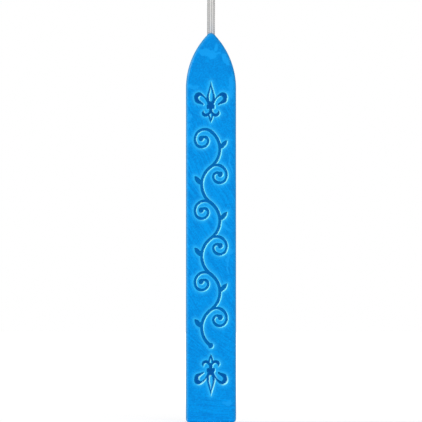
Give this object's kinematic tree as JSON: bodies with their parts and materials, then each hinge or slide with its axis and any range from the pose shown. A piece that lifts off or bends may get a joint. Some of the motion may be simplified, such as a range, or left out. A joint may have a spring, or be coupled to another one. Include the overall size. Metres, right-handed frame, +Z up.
{
  "type": "sealing wax stick",
  "caption": "Square-section bar of sealing wax with an ogive point, a recessed fleur-de-lis and vine ornament on the front, and a braided cotton wick rising from the tip.",
  "frame": {"origin": "middle of the base that the stick stands on", "axes": "+Z up along the stick to the point and the wick, -Y out of the front face with the ornament, +X to the right as the front face is seen"},
  "size_m": [0.0116, 0.011, 0.1202],
  "materials": {
    "blue_wax": "satin",
    "cotton_wick": "matte"
  },
  "bodies": {
    "root": {"wax_body": "blue_wax", "wick_held": "cotton_wick", "wick_free": "cotton_wick"}
  },
  "joints": []
}
